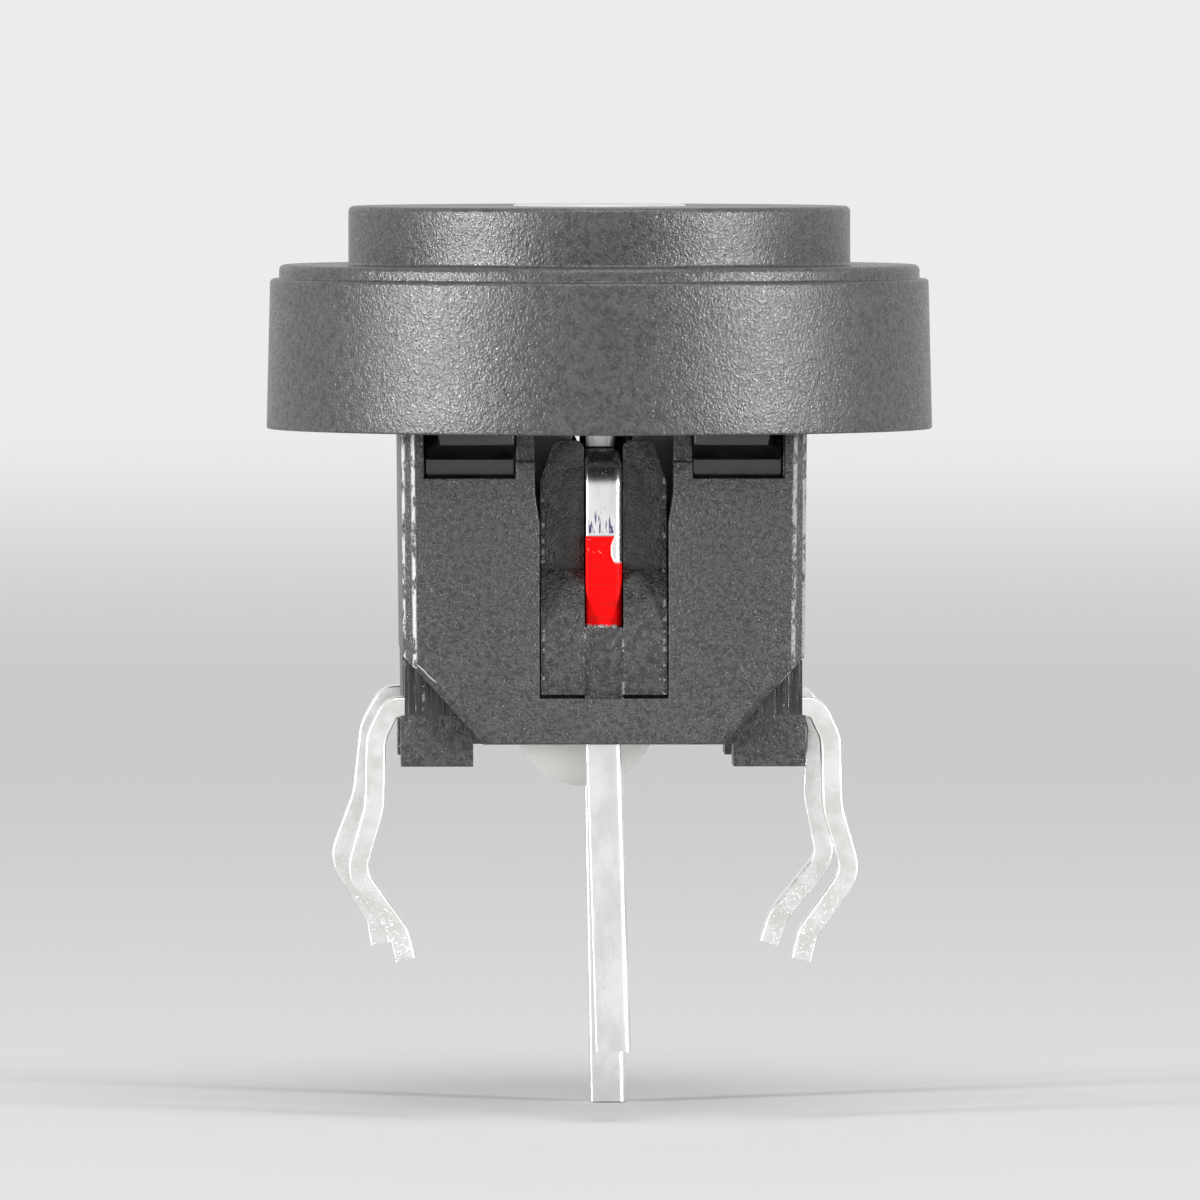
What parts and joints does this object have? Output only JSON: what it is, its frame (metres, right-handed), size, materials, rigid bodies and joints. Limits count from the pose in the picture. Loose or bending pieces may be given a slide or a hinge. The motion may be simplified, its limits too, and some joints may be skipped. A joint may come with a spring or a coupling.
{
  "type": "illuminated push button switch",
  "caption": "Small through-hole push button switch with a built-in LED, a round flanged cap, kinked snap-in legs and long straight lamp leads.",
  "frame": {"origin": "centre of the seating plane, level with the undersides of the four feet, on the press axis", "axes": "+Z along the press axis, out of the cap; -Y towards the side of the marked LED lead; the switch legs stand out along X"},
  "size_m": [0.01, 0.01, 0.0136],
  "materials": {
    "black_cap": "ABS with a coarse spark-eroded texture",
    "black_housing": "PBT with a fine texture",
    "black_base": "satin",
    "window_plastic": "satin, translucent",
    "plunger_plastic": "satin",
    "natural_nylon": "satin",
    "spring_steel": "bright",
    "tinned_strip": "satin metal",
    "tinned_lead": "bright metal",
    "clear_epoxy": "gloss, transparent",
    "led_die": "satin",
    "gold_wire": "bright metal"
  },
  "bodies": {
    "switch_body": {"housing": "black_housing", "base": "black_base", "contact_dome": "spring_steel", "terminal_front": "tinned_strip", "terminal_rear": "tinned_strip", "led_lead_front": "tinned_lead", "led_lead_rear": "tinned_lead", "led_lens": "clear_epoxy", "led_chip": "led_die", "led_bond_wire": "gold_wire", "locating_boss": "natural_nylon"},
    "button": {"button_cap": "black_cap", "light_window": "window_plastic", "plunger": "plunger_plastic"}
  },
  "joints": [
    {"name": "button_press", "type": "slide", "parent": "switch_body", "child": "button", "axis": [0, 0, -1], "range_m": [0, 0.00025], "stiffness_N_per_m": 4000, "springref_m": -0.0001, "deforming": ["contact_dome"]}
  ]
}
